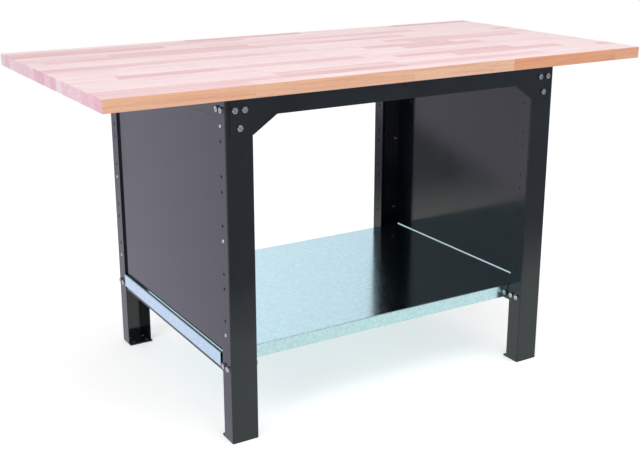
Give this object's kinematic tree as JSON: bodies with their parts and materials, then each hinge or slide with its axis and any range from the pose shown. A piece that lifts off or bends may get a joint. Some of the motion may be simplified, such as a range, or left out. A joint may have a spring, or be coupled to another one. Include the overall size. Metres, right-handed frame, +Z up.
{
  "type": "workbench",
  "caption": "Workshop bench with a glued beech worktop on a bolted sheet-steel frame of open channel legs, gusseted rails, side panels and a low galvanised shelf.",
  "frame": {"origin": "on the floor under the middle of the worktop", "axes": "+X along the bench to the right, +Y from the front to the rear, +Z up"},
  "size_m": [1.5, 0.75, 0.85],
  "materials": {
    "beech": "oiled",
    "anthracite_coat": "semi-gloss powder coat",
    "galvanised": "galvanised sheet",
    "zinc_fasteners": "zinc plated"
  },
  "bodies": {
    "root": {"rail_front": "anthracite_coat", "rail_rear": "anthracite_coat", "leg_front_left": "anthracite_coat", "leg_rear_left": "anthracite_coat", "foot_front_left": "anthracite_coat", "foot_rear_left": "anthracite_coat", "upper_rail_left": "anthracite_coat", "lower_rail_left": "anthracite_coat", "side_panel_left": "anthracite_coat", "leg_front_right": "anthracite_coat", "leg_rear_right": "anthracite_coat", "foot_front_right": "anthracite_coat", "foot_rear_right": "anthracite_coat", "upper_rail_right": "anthracite_coat", "lower_rail_right": "anthracite_coat", "side_panel_right": "anthracite_coat", "worktop": "beech", "shelf": "galvanised", "rail_bolts_front": "zinc_fasteners", "rail_bolts_rear": "zinc_fasteners", "rail_nuts_front": "zinc_fasteners", "rail_nuts_rear": "zinc_fasteners", "upper_rail_bolts": "zinc_fasteners", "upper_rail_nuts": "zinc_fasteners", "lower_rail_bolts": "zinc_fasteners", "lower_rail_nuts": "zinc_fasteners", "panel_screws_left": "zinc_fasteners", "panel_screws_right": "zinc_fasteners", "panel_nuts_left": "zinc_fasteners", "panel_nuts_right": "zinc_fasteners", "worktop_screws": "zinc_fasteners"}
  },
  "joints": []
}
